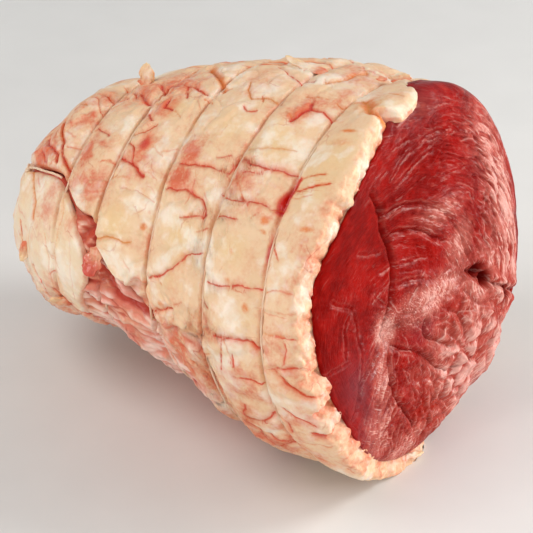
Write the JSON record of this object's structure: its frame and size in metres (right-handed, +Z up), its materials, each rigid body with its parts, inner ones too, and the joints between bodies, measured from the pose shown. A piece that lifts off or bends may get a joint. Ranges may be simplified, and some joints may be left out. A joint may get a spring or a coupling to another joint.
{
  "type": "raw beef roasting joint",
  "caption": "Raw beef joint rolled in a sheet of fat, tied in bands with string, with a broad domed cut face and a gathered end.",
  "frame": {"origin": "on the board, under the middle of the joint's bounding box", "axes": "+X runs along the joint from the gathered end to the cut face, +Z is up as the joint lies, -Y is the side where the string grooves and the free edge of the fat sheet show"},
  "size_m": [0.1884, 0.1564, 0.1432],
  "materials": {
    "lean": "moist raw lean beef, dark red with pale silverskin",
    "fat": "soft raw fat, cream to peach, moist",
    "pale_fat": "thin raw fat and skin, pale pink cream, moist",
    "string": "thin twisted cotton string, damp and greyish"
  },
  "bodies": {
    "root": {"lean_meat": "lean", "fat_cover": "fat", "end_flap": "pale_fat", "string_loop_1": "string", "string_loop_2": "string", "string_loop_3": "string", "string_loop_4": "string", "string_loop_5": "string", "string_end": "string"}
  },
  "joints": []
}
